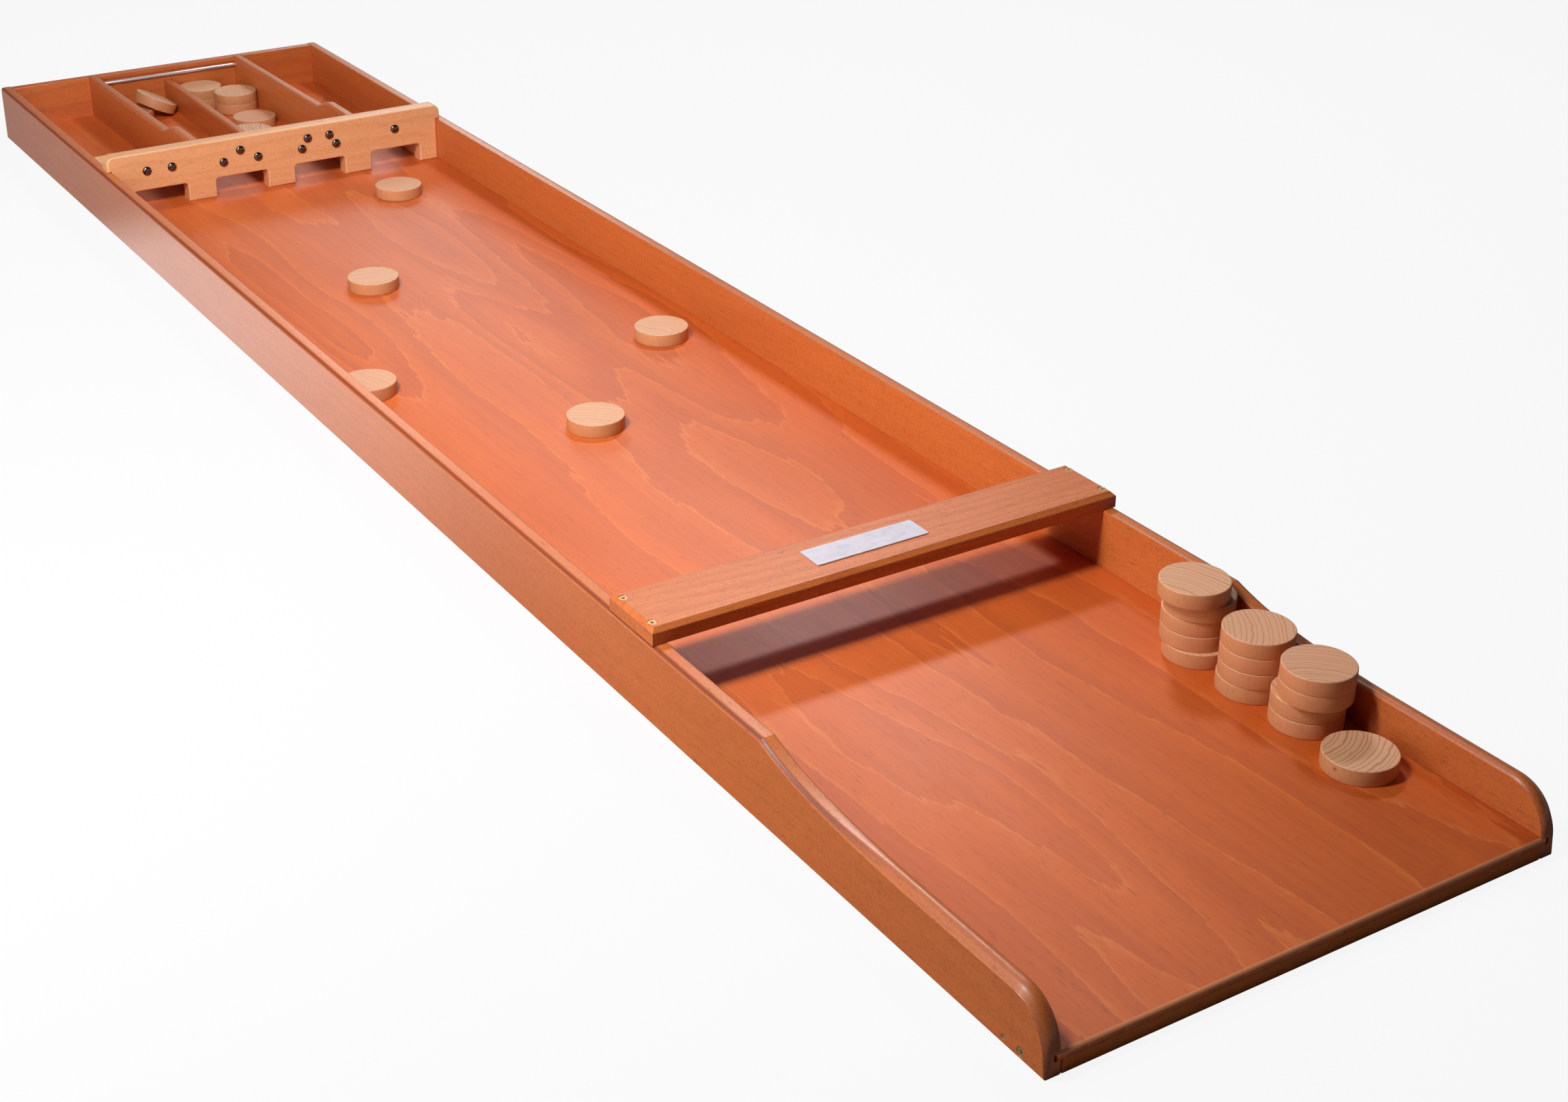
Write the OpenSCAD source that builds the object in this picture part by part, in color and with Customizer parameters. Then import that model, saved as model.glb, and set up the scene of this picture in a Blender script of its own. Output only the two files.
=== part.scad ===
// Dutch shuffleboard: a long wooden tray with a board of four gates near its far end,
// four scoring compartments behind the gates, a crossbar near the player and loose wooden discs.
// Millimetres. The origin is the middle of the underside. +Y runs from the player's end to the
// gates, +X is the player's right and +Z is up.

/* [Tray] */
// Overall length of the tray
board_l = 2000; // [1700:10:2200]
// Overall width over the side walls
board_w = 405; // [400:1:420]
// Height of the side and rear walls
wall_h = 62; // [58:0.5:70]
// Thickness of the side walls
wall_t = 12; // [11:0.5:13]
// Thickness of the rear wall
rear_t = 12; // [10:0.5:16]
// Thickness of the floor panel
floor_t = 5; // [4:0.5:7]
// Depth of the groove that holds the floor panel
groove_d = 6; // [4:0.5:7]
// Room left for the panel to swell, at the bottom of each groove
swell_gap = 2.5; // [1:0.5:3]
// Radius along the front top edge of the floor panel
panel_nose_r = 2.5; // [1:0.5:3]
// Chamfer along both top edges of the high walls
wall_edge = 2; // [0.5:0.5:3]

/* [Low player's end] */
// Height of the side walls at the player's end
low_h = 46; // [42:0.5:50]
// Distance from the front end to the crisp break where a wall reaches its full height
break_y = 290; // [250:5:340]
// Distance from the front end to where the curve up to the break begins
ramp_y = 130; // [100:5:200]
// Power of the curve up to the break, a larger one being flatter for longer
ramp_power = 3.4; // [2:0.1:5]
// Radius of the rounded front end of a side wall
nose_r = 31; // [20:1:40]
// Chamfer along the outer edge of the low stretch
low_edge_out = 6; // [2:0.5:7]
// Chamfer along the inner edge of the low stretch
low_edge_in = 4; // [1:0.5:4]
// Distance from the front end to where the wide outer chamfer has run out
low_edge_end = 235; // [210:5:245]

/* [Battens under the floor] */
// Height of every batten, which is also the height of the panel's underside
batten_h = 10; // [8:0.5:14]
// Width of the front batten
front_batten_w = 48; // [44:1:60]
// Width of the other battens
batten_w = 40; // [25:1:60]
// Number of battens between the front one and the rear one
batten_count = 3; // [1:1:3]

/* [Gate board] */
// Thickness of the gate board
gate_t = 18; // [14:0.5:22]
// Width of one gate
gate_w = 60.5; // [56:0.5:64]
// Height of one gate above the floor
gate_h = 21; // [16:0.5:24]
// Radius in the upper corners of a gate
gate_r = 4; // [1:0.5:8]
// Width of the feet against the side walls
end_foot_w = 21.5; // [20:0.5:26]
// Height of the gate board above the wall tops
ear_h = 16; // [12:0.5:20]
// Distance from an ear's end to the outer face of the wall that it lies on
ear_inset = 7; // [1:0.5:8]
// Radius at the upper ends of the ears
ear_r = 8; // [2:0.5:10]
// Diameter of a score stud's domed head
stud_d = 10; // [7:0.5:11]
// Height of a score stud's domed head
stud_dome_h = 3; // [1.5:0.5:4]
// Length of a score stud's pin
stud_pin_l = 10; // [5:1:13]

/* [Scoring compartments] */
// Clear depth from the gate board to the rear wall
comp_l = 358.8; // [340:0.2:420]
// Thickness of the dividers
divider_t = 11; // [8:0.5:12]
// Depth of the housings that hold the dividers in the rear wall
housing_d = 4.5; // [2:0.5:7]
// Height of the middle divider above the floor
mid_divider_h = 30.5; // [26:0.5:36]
// Height of a tall divider over the wall tops where its step begins
divider_rise = 4; // [0:0.5:8]
// Length of the level stretch of a tall divider behind the gate board
divider_top_l = 52; // [30:1:80]
// Length of the smooth step in a tall divider's top edge
divider_step_l = 44; // [20:1:80]
// Chamfer along the top edges of the dividers
divider_edge = 1.5; // [0.5:0.5:3]
// Width of the blocks in the corners behind the gate board
corner_w = 18; // [10:0.5:20]
// Length of the corner blocks
corner_l = 46.8; // [20:0.2:80]

/* [Rear rod] */
// Diameter of the steel rod between the tall dividers
rod_d = 4; // [3:0.5:5]
// Depth of the rod's axis below the wall tops
rod_drop = 9; // [7:0.5:12]
// Gap between the rod and the rear wall
rod_gap = 1; // [0.5:0.5:5]
// Depth that each end of the rod goes into a divider
rod_in = 6; // [3:0.5:7]
// Height of the shallow groove in the rear wall behind the rod
rear_groove_h = 7.5; // [5:0.5:9]
// Depth of that groove
rear_groove_d = 2; // [0.5:0.5:3]

/* [Crossbar] */
// Width of the crossbar along the tray
crossbar_w = 60; // [40:1:90]
// Thickness of the crossbar
crossbar_t = 13; // [10:0.5:18]
// Distance from the front end of the tray to the crossbar
crossbar_y = 425; // [350:5:600]
// Distance from an end of the crossbar to the outer face of its wall
crossbar_inset = 0.5; // [0:0.5:3]
// Chamfer along the crossbar's upper edges
crossbar_edge = 3.5; // [1:0.5:5]
// Distance of the crossbar's screws from its long edges
crossbar_screw_inset = 10; // [7:0.5:15]
// Length of the plate on the crossbar
plate_l = 97; // [60:1:140]
// Width of the plate
plate_w = 24.5; // [15:0.5:30]
// Thickness of the plate
plate_t = 1; // [0.5:0.1:2]
// Distance of the plate's middle from the middle of the crossbar, to the left
plate_shift = 8; // [0:0.5:30]

/* [Fasteners] */
// Diameter of the countersunk screw heads
screw_head_d = 6.4; // [5:0.2:8]
// Diameter of the screw shanks
screw_d = 3; // [2.5:0.1:3.5]
// Length of the screws
screw_l = 30; // [25:1:35]
// Depth of the screw heads below the wood
screw_sink = 0.4; // [0.1:0.1:1]
// Diameter of the nails
nail_d = 2; // [1.5:0.1:2.5]
// Diameter of the nail heads
nail_head_d = 4; // [3:0.5:5]
// Length of the nails
nail_l = 32; // [25:1:40]
// Distance of the batten screws from the front end
batten_screw_y = 21; // [10:1:26]
// Distance of the batten nails from the front end
batten_nail_y = 36; // [32:1:40]
// Height of the gate board's nails above the floor
gate_nail_h = 28; // [26:0.5:40]

/* [Discs] */
// Diameter of a disc
disc_d = 51; // [49:0.5:52]
// Thickness of a disc
disc_t = 12; // [9:0.5:13]
// Radius along a disc's edges
disc_edge = 1.2; // [0.4:0.2:2.5]
// Distance from the front end to the middle of the disc that lies alone beside the piles
single_y = 119.7; // [100:0.1:140]

/* [Hidden] */
$fn = 64;
// Clearance between loose pieces, and between a disc and what it lies beside
loose_gap = 0.3;
// Clearance all round a pin, shank or panel in its hole or groove
fit_gap = 0.05;
panel_gap = 0.2;
// Amount by which a cutter stands out of the face that it cuts
over = 1;

y_front = -board_l / 2;
y_rear = board_l / 2;
x_out = board_w / 2;
x_in = x_out - wall_t;
floor_z = batten_h + floor_t;
disc_r = disc_d / 2;

y_rear_face = y_rear - rear_t;
y_gate_back = y_rear_face - comp_l;
y_gate_front = y_gate_back - gate_t;
gate_top = wall_h + ear_h;
foot_w = (2 * x_in - 2 * end_foot_w - 4 * gate_w) / 3;
gate_pitch = gate_w + foot_w;
gate_x = [for (i = [0:3]) -x_in + end_foot_w + gate_w / 2 + i * gate_pitch];
divider_x = [for (i = [0:2]) gate_x[i] + gate_pitch / 2];

rod_y = y_rear_face - rod_gap - rod_d / 2;
rod_z = wall_h - rod_drop;

screw_head_h = 0.5 * (screw_head_d - screw_d);
recess_w = 0.9;
nail_head_h = 1;
tip_h = 4;
tip_d = 0.4;
stud_pin_d = 1.6;
plate_r = 1.5;
crossbar_screw_x = x_out - wall_t / 2;
crossbar_screw_y = [crossbar_screw_inset, crossbar_w - crossbar_screw_inset];

// Each gate's studs: distance from the gate's middle, and depth below the board's top edge
stud_rows = [
    [[-14, 20.5], [14, 20.5]],
    [[-20, 25.2], [0, 14.5], [20, 25.2]],
    [[-20.5, 25.3], [-13, 14], [13, 14], [20.5, 25.3]],
    [[0, 20]]
];

// Field discs: share of the way from the middle line to where a disc would touch the right wall,
// negative towards the left one, and distance in front of the gate board
field_spots = [[-0.0848, 759.2], [-0.2558, 348.2], [0.8273, 612.6], [-0.9206, 588.2], [0.5927, 97.2]];
field_room = x_in - disc_r;

// The row of piles along the right wall, counted away from the player: the gap between two
// piles along the tray, and how far the single disc stands off the wall
pile_gaps = [8.4, 1.2, 4.3];
single_off_wall = 10.8;
single_x = x_in - disc_r - loose_gap - single_off_wall;
pile_x = x_in - disc_r - loose_gap;
pile_c_y = y_front + single_y + disc_d + pile_gaps[0];
pile_b_y = pile_c_y + disc_d + pile_gaps[1];
pile_a_y = pile_b_y + disc_d + pile_gaps[2];
// How far each disc of a pile has slipped, to the right and along the tray, the lowest first
pile_a_slips = [[0, 0], [0, 3.7], [0, 4], [0, 2.6], [-6.1, 3.1]];
pile_b_slips = [[0, 0], [0, -0.9], [0, -0.9], [0, -0.9]];
pile_c_slips = [[0, 0], [0, 0], [0, -5.5], [0, -5.8]];
pair_slips = [[0, 0], [0, 0]];

// Third compartment: a pair in the corner, a pair beside it and two single discs, the first of
// them to the right of the gate's middle
pair_off_rear = 0.5;
loose_1_shift = 9.6;
loose_1_gap = 24.9;
loose_2_gap = 0.4;
loose_2_off_divider = 0.5;
pair_a_x = divider_x[1] + divider_t / 2 + loose_gap + disc_r;
pair_a_y = y_rear_face - pair_off_rear - disc_r;
pair_b_x = divider_x[2] - divider_t / 2 - loose_gap - disc_r;
pair_step = disc_d + loose_gap;
pair_b_y = pair_a_y - sqrt(max(0, pow(pair_step, 2) - pow(pair_b_x - pair_a_x, 2)));
loose_1_x = gate_x[2] + loose_1_shift;
loose_1_y = pair_b_y - disc_d - loose_1_gap;
loose_2_x = divider_x[1] + divider_t / 2 + loose_2_off_divider + disc_r;
loose_2_y = loose_1_y - disc_d - loose_2_gap;

// Second compartment: a flat disc against the left divider, and one that leans on its rim with
// its own lowest edge on the floor beside the middle divider
lean_to_rear = 41;
lean_y = y_rear_face - lean_to_rear;
lower_x = divider_x[0] + divider_t / 2 + loose_gap + disc_r;
lean_wall_gap = 0.7;
lean_room = divider_x[1] - divider_t / 2 - lean_wall_gap - (lower_x + disc_r);
// Angle at which the underside passes over the rim and ends on the floor, by repeated steps
function lean_at(a, steps) =
    steps == 0 ? a : lean_at(atan(disc_t / (lean_room - disc_t * sin(a))), steps - 1);
first_guess = 25;
lean_steps = 12;
lean_angle = lean_at(first_guess, lean_steps);
lean_rise = 0.2;
lean_x = lower_x + disc_r + lean_room - disc_r * cos(lean_angle) - disc_t / 2 * sin(lean_angle);
lean_z = floor_z + lean_rise + disc_r * sin(lean_angle) + disc_t / 2 * cos(lean_angle);

// A pile as a list of discs: name, x, y and height of the underside
function pile(name, x, y, slips) =
    [for (i = [0:len(slips) - 1])
        [str(name, "_", i + 1), x + slips[i][0], y + slips[i][1], floor_z + i * disc_t]];

flat_discs = concat(
    [for (i = [0:4]) [str("field_disc_", i + 1), field_spots[i][0] * field_room,
        y_gate_front - field_spots[i][1], floor_z]],
    pile("pile_a_disc", pile_x, pile_a_y, pile_a_slips),
    pile("pile_b_disc", pile_x, pile_b_y, pile_b_slips),
    pile("pile_c_disc", pile_x, pile_c_y, pile_c_slips),
    [["single_disc", single_x, y_front + single_y, floor_z]],
    pile("corner_pair_disc", pair_a_x, pair_a_y, pair_slips),
    pile("side_pair_disc", pair_b_x, pair_b_y, pair_slips),
    [["scored_disc_1", loose_1_x, loose_1_y, floor_z]],
    [["scored_disc_2", loose_2_x, loose_2_y, floor_z]],
    [["lower_disc", lower_x, lean_y, floor_z]]
);

// Box between two opposite corners
module block(lo, hi) {
    translate(lo)
        cube(hi - lo);
}

// A flat outline in (y, z) made into a board of thickness t that starts at x
module board_at(x, t) {
    translate([x, 0, 0])
        rotate([90, 0, 90])
            linear_extrude(height = t)
                children();
}

// Triangular rod along +Y from y0 to y1 that chamfers an edge at (x, z) by size
module edge_cut(x, z, y0, y1, size) {
    translate([x, y1, z])
        rotate([90, 0, 0])
            linear_extrude(height = y1 - y0)
                polygon([[-size, 0], [0, size], [size, 0], [0, -size]]);
}

// Outline of a side wall, seen from the left, as (y, z) points from the front end back
function nose_point(a) = [nose_r + nose_r * cos(a), low_h - nose_r + nose_r * sin(a)];
function ramp_point(s) =
    [ramp_y + s * (break_y - ramp_y), low_h + (wall_h - low_h) * pow(s, ramp_power)];
wall_outline = concat(
    [[0, 0]],
    [for (a = [180:-9:90]) nose_point(a)],
    [for (i = [0:12]) ramp_point(i / 12)],
    [[board_l, wall_h], [board_l, 0]]
);

// Screw that points down, with the flat of its head at the origin
module screw() {
    difference() {
        union() {
            translate([0, 0, -screw_head_h])
                cylinder(h = screw_head_h, d1 = screw_d, d2 = screw_head_d);
            translate([0, 0, tip_h - screw_l])
                cylinder(h = screw_l - tip_h - screw_head_h, d = screw_d);
            translate([0, 0, -screw_l])
                cylinder(h = tip_h, d1 = tip_d, d2 = screw_d);
        }
        for (a = [0, 90])
            rotate([0, 0, a])
                block([-screw_d / 2, -recess_w / 2, -screw_head_h], [screw_d / 2, recess_w / 2, over]);
    }
}

// Hole for a screw, open upwards from its head
module screw_hole() {
    translate([0, 0, -screw_head_h])
        cylinder(h = screw_head_h, d1 = screw_d + 2 * fit_gap, d2 = screw_head_d + 2 * fit_gap);
    cylinder(h = screw_sink + over, d = screw_head_d + 2 * fit_gap);
    translate([0, 0, -screw_l - fit_gap])
        cylinder(h = screw_l, d = screw_d + 2 * fit_gap);
}

// Nail that points down, with the top of its head at the origin
module nail() {
    translate([0, 0, -nail_head_h])
        cylinder(h = nail_head_h, d = nail_head_d);
    translate([0, 0, tip_h - nail_l])
        cylinder(h = nail_l - tip_h - nail_head_h, d = nail_d);
    translate([0, 0, -nail_l])
        cylinder(h = tip_h, d1 = tip_d, d2 = nail_d);
}

module nail_hole() {
    translate([0, 0, -nail_head_h - fit_gap])
        cylinder(h = nail_head_h + over, d = nail_head_d + 2 * fit_gap);
    translate([0, 0, -nail_l - fit_gap])
        cylinder(h = nail_l, d = nail_d + 2 * fit_gap);
}

// Places of the fasteners, each child pointing into the wood
module at_crossbar_screws() {
    for (side = [-1, 1], y = crossbar_screw_y)
        translate([side * crossbar_screw_x, y_front + crossbar_y + y,
            wall_h + crossbar_t - screw_sink])
            children();
}

module at_side(side, y, z, sink) {
    translate([side * (x_out - sink), y, z])
        rotate([0, side * 90, 0])
            children();
}

module at_batten_screws(sides) {
    for (side = sides)
        at_side(side, y_front + batten_screw_y, batten_h / 2, screw_sink)
            children();
}

module at_batten_nails(sides) {
    for (side = sides)
        at_side(side, y_front + batten_nail_y, batten_h / 2, screw_sink)
            children();
}

module at_gate_nails(sides) {
    for (side = sides)
        at_side(side, (y_gate_front + y_gate_back) / 2, floor_z + gate_nail_h, screw_sink)
            children();
}

// Left wall; the right one is its mirror image
module side_wall() {
    // Slope of the line at which the wide outer chamfer runs out into the curve
    run_out_l = low_edge_end - ramp_y;
    run_out_rise = low_edge_out + ramp_point(run_out_l / (break_y - ramp_y))[1] - low_h - wall_edge;
    difference() {
        translate([0, y_front, 0])
            board_at(-x_out, wall_t)
                polygon(wall_outline);
        // Groove for the floor panel, open at the front end
        block([-x_in - groove_d, y_front - over, batten_h],
            [-x_in + over, y_rear_face + groove_d, floor_z + panel_gap]);
        // Edges of the high stretch
        edge_cut(-x_out, wall_h, y_front + break_y, y_rear + over, wall_edge);
        edge_cut(-x_in, wall_h, y_front + break_y, y_rear + over, wall_edge);
        // Edges of the low stretch
        edge_cut(-x_out, low_h, y_front - over, y_front + ramp_y + over, low_edge_out);
        edge_cut(-x_in, low_h, y_front - over, y_front + ramp_y + over, low_edge_in);
        translate([-x_out, y_front + ramp_y, low_h])
            rotate([atan(run_out_rise / run_out_l), 0, 0])
                edge_cut(0, 0, -over / 2, run_out_l, low_edge_out);
        at_crossbar_screws()
            screw_hole();
        at_batten_screws([-1])
            screw_hole();
        at_batten_nails([-1])
            nail_hole();
        at_gate_nails([-1])
            nail_hole();
    }
}

module left_wall() {
    color("peru")
        side_wall();
}

module right_wall() {
    color("peru")
        mirror([1, 0, 0])
            side_wall();
}

module rear_wall() {
    housing_tops = [wall_h + over, floor_z + mid_divider_h, wall_h + over];
    color("peru")
        difference() {
            block([-x_in, y_rear_face, 0], [x_in, y_rear, wall_h]);
            // Groove for the floor panel
            block([-x_in - over, y_rear_face - over, batten_h],
                [x_in + over, y_rear_face + groove_d, floor_z + panel_gap]);
            // Housings for the dividers
            for (i = [0:2])
                block([divider_x[i] - divider_t / 2, y_rear_face - over, floor_z],
                    [divider_x[i] + divider_t / 2, y_rear_face + housing_d, housing_tops[i]]);
            // Shallow groove behind the rod, with a sloping lower lip
            board_at(divider_x[0], divider_x[2] - divider_x[0])
                polygon([
                    [y_rear_face - over, rod_z + rear_groove_h / 2],
                    [y_rear_face + rear_groove_d, rod_z + rear_groove_h / 2],
                    [y_rear_face + rear_groove_d, rod_z - rear_groove_h / 2 + rear_groove_d],
                    [y_rear_face - over, rod_z - rear_groove_h / 2 - over]
                ]);
            edge_cut_across(y_rear, wall_h, wall_edge);
            edge_cut_across(y_rear_face, wall_h, wall_edge / 2);
        }
}

// Chamfer of an edge that runs across the tray at (y, z)
module edge_cut_across(y, z, size) {
    board_at(-x_out - over, board_w + 2 * over)
        polygon([[y - size, z], [y, z + size], [y + size, z], [y, z - size]]);
}

module floor_panel() {
    edge_x = x_in + groove_d - swell_gap;
    back_y = y_rear_face + groove_d - swell_gap;
    color("sandybrown")
        board_at(-edge_x, 2 * edge_x) {
            translate([y_front, batten_h])
                square([back_y - y_front, floor_t - panel_nose_r]);
            translate([y_front + panel_nose_r, batten_h])
                square([back_y - y_front - panel_nose_r, floor_t]);
            translate([y_front + panel_nose_r, floor_z - panel_nose_r])
                circle(r = panel_nose_r);
        }
}

// Batten under the floor panel from y0 to y1
module batten(y0, y1) {
    block([-x_in, y0, 0], [x_in, y1, batten_h]);
}

module front_batten() {
    color("saddlebrown")
        difference() {
            batten(y_front, y_front + front_batten_w);
            at_batten_screws([-1, 1])
                screw_hole();
            at_batten_nails([-1, 1])
                nail_hole();
        }
}

module rear_batten() {
    color("saddlebrown")
        batten(y_rear_face - batten_w, y_rear_face);
}

module cross_batten(i) {
    step = board_l / (batten_count + 1);
    color("saddlebrown")
        batten(y_front + i * step - batten_w / 2, y_front + i * step + batten_w / 2);
}

module crossbar() {
    y0 = y_front + crossbar_y;
    color("sandybrown")
        difference() {
            block([-x_out + crossbar_inset, y0, wall_h],
                [x_out - crossbar_inset, y0 + crossbar_w, wall_h + crossbar_t]);
            edge_cut_across(y0, wall_h + crossbar_t, crossbar_edge);
            edge_cut_across(y0 + crossbar_w, wall_h + crossbar_t, crossbar_edge);
            for (side = [-1, 1])
                edge_cut(side * (x_out - crossbar_inset), wall_h + crossbar_t, y0 - over,
                    y0 + crossbar_w + over, crossbar_edge);
            at_crossbar_screws()
                screw_hole();
        }
}

module crossbar_screws() {
    color("silver")
        at_crossbar_screws()
            screw();
}

module name_plate() {
    color("gainsboro")
        translate([-plate_shift, y_front + crossbar_y + crossbar_w / 2, wall_h + crossbar_t])
            linear_extrude(height = plate_t) {
                square([plate_l - 2 * plate_r, plate_w], center = true);
                square([plate_l, plate_w - 2 * plate_r], center = true);
                for (sx = [-1, 1], sy = [-1, 1])
                    translate([sx * (plate_l / 2 - plate_r), sy * (plate_w / 2 - plate_r)])
                        circle(r = plate_r);
            }
}

// Outline of one gate, with its middle at x = 0 and its foot at z = 0
module gate_outline() {
    translate([-gate_w / 2, -over])
        square([gate_w, gate_h - gate_r + over]);
    translate([-gate_w / 2 + gate_r, -over])
        square([gate_w - 2 * gate_r, gate_h + over]);
    for (side = [-1, 1])
        translate([side * (gate_w / 2 - gate_r), gate_h - gate_r])
            circle(r = gate_r);
}

// Front of the gate board as an (x, z) outline
module gate_board_outline() {
    ear_x = x_out - ear_inset;
    difference() {
        union() {
            translate([-x_in, floor_z])
                square([2 * x_in, gate_top - floor_z - ear_r]);
            translate([-ear_x, wall_h])
                square([2 * ear_x, ear_h - ear_r]);
            translate([-ear_x + ear_r, wall_h])
                square([2 * (ear_x - ear_r), ear_h]);
            for (side = [-1, 1])
                translate([side * (ear_x - ear_r), gate_top - ear_r])
                    circle(r = ear_r);
        }
        for (x = gate_x)
            translate([x, floor_z])
                gate_outline();
    }
}

// Each child at a score stud's place, pointing out of the board towards the player
module at_studs() {
    for (i = [0:3], stud = stud_rows[i])
        translate([gate_x[i] + stud[0], y_gate_front, gate_top - stud[1]])
            rotate([90, 0, 0])
                children();
}

module gate_board() {
    color("burlywood")
        difference() {
            translate([0, y_gate_back, 0])
                rotate([90, 0, 0])
                    linear_extrude(height = gate_t)
                        gate_board_outline();
            at_studs()
                translate([0, 0, -stud_pin_l - fit_gap])
                    cylinder(h = stud_pin_l + over, d = stud_pin_d + 2 * fit_gap);
            at_gate_nails([-1, 1])
                nail_hole();
        }
}

module score_studs() {
    dome_r = (pow(stud_d / 2, 2) + pow(stud_dome_h, 2)) / (2 * stud_dome_h);
    color("darkslategray")
        at_studs() {
            intersection() {
                translate([0, 0, stud_dome_h - dome_r])
                    sphere(r = dome_r);
                cylinder(h = stud_dome_h, d = stud_d);
            }
            translate([0, 0, -stud_pin_l])
                cylinder(h = stud_pin_l + over, d = stud_pin_d);
        }
}

module gate_nails() {
    color("silver")
        at_gate_nails([-1, 1])
            nail();
}

module corner_block(side) {
    inner = x_in - corner_w;
    color("burlywood")
        translate([side < 0 ? -x_in : inner, y_gate_back, floor_z])
            cube([corner_w, corner_l, wall_h - floor_z]);
}

// Outline of a tall divider in (y, z): level behind the gate board, a smooth step down, then a
// gentle fall to the wall tops at the rear
step_start = y_gate_back + divider_top_l;
function step_point(s) =
    [step_start + s * divider_step_l,
        wall_h + divider_rise + (ear_h - divider_rise) * (1 + cos(180 * s)) / 2];
tall_divider_outline = concat(
    [[y_gate_back, floor_z], [y_gate_back, gate_top]],
    [for (i = [0:10]) step_point(i / 10)],
    [[y_rear_face, wall_h], [y_rear_face + housing_d, wall_h], [y_rear_face + housing_d, floor_z]]
);

module tall_divider(i) {
    inward = i == 0 ? 1 : -1;
    x0 = divider_x[i] - divider_t / 2;
    color("peru")
        difference() {
            board_at(x0, divider_t)
                polygon(tall_divider_outline);
            for (x = [x0, x0 + divider_t])
                edge_cut(x, gate_top, y_gate_back - over, step_start, divider_edge);
            translate([divider_x[i] + inward * divider_t / 2, rod_y, rod_z])
                rotate([0, 90, 0])
                    cylinder(h = 2 * rod_in, d = rod_d + 2 * fit_gap, center = true);
        }
}

module divider_middle() {
    x0 = divider_x[1] - divider_t / 2;
    top = floor_z + mid_divider_h;
    color("peru")
        difference() {
            block([x0, y_gate_back, floor_z], [x0 + divider_t, y_rear_face + housing_d, top]);
            for (x = [x0, x0 + divider_t])
                edge_cut(x, top, y_gate_back - over, y_rear_face, divider_edge);
        }
}

module rear_rod() {
    end_x = divider_x[2] - divider_t / 2 + rod_in - fit_gap;
    start_x = divider_x[0] + divider_t / 2 - rod_in + fit_gap;
    color("silver")
        translate([start_x, rod_y, rod_z])
            rotate([0, 90, 0])
                cylinder(h = end_x - start_x, d = rod_d);
}

module batten_screws() {
    color("silver")
        at_batten_screws([-1, 1])
            screw();
}

module batten_nails() {
    color("silver")
        at_batten_nails([-1, 1])
            nail();
}

// Disc with rounded edges, standing on z = 0
module disc() {
    color("wheat")
        rotate_extrude() {
            translate([0, disc_edge])
                square([disc_r, disc_t - 2 * disc_edge]);
            square([disc_r - disc_edge, disc_t]);
            for (z = [disc_edge, disc_t - disc_edge])
                translate([disc_r - disc_edge, z])
                    circle(r = disc_edge);
        }
}

module leaning_disc() {
    translate([lean_x, lean_y, lean_z])
        rotate([0, lean_angle, 0])
            translate([0, 0, -disc_t / 2])
                disc();
}

left_wall();
right_wall();
rear_wall();
floor_panel();
front_batten();
rear_batten();
for (i = [1:batten_count])
    cross_batten(i);
crossbar();
crossbar_screws();
name_plate();
gate_board();
score_studs();
gate_nails();
corner_block(-1);  // corner_block_left
corner_block(1);  // corner_block_right
tall_divider(0);  // divider_left
divider_middle();
tall_divider(2);  // divider_right
rear_rod();
batten_screws();
batten_nails();
for (d = flat_discs)
    translate([d[1], d[2], d[3]]) disc();
leaning_disc();
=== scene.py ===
import math

import bpy
import numpy as np
from mathutils import Matrix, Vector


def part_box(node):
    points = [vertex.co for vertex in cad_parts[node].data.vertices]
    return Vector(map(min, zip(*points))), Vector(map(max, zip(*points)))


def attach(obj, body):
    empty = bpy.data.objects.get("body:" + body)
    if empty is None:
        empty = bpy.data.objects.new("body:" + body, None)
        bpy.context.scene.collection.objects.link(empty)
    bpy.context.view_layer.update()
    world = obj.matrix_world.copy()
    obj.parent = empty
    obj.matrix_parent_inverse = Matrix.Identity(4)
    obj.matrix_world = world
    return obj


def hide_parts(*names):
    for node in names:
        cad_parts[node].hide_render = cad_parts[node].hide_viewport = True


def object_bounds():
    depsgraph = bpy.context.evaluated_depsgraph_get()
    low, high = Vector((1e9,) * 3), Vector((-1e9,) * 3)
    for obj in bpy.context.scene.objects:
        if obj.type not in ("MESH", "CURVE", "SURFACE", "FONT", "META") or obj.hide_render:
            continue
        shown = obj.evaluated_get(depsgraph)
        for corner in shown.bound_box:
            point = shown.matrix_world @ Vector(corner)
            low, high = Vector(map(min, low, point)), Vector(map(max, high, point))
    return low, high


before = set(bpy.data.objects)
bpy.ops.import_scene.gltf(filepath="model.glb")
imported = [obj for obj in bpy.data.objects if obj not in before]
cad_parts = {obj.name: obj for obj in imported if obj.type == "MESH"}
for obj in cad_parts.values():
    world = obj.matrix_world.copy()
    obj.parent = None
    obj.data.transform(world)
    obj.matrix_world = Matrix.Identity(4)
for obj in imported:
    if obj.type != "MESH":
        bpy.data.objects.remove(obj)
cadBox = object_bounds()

mm = 0.001
scene = bpy.context.scene


def paint(red, green, blue):
    # A colour as a screen shows it, 0 to 255, made linear for a shader
    c = np.array([red, green, blue]) / 255
    linear = np.where(c > 0.04045, ((c + 0.055) / 1.055) ** 2.4, c / 12.92)
    return (*linear.tolist(), 1.0)


def darker(colour, share):
    # Linear colour with only this share of its light
    return (*(share * c for c in colour[:3]), 1.0)


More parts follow.
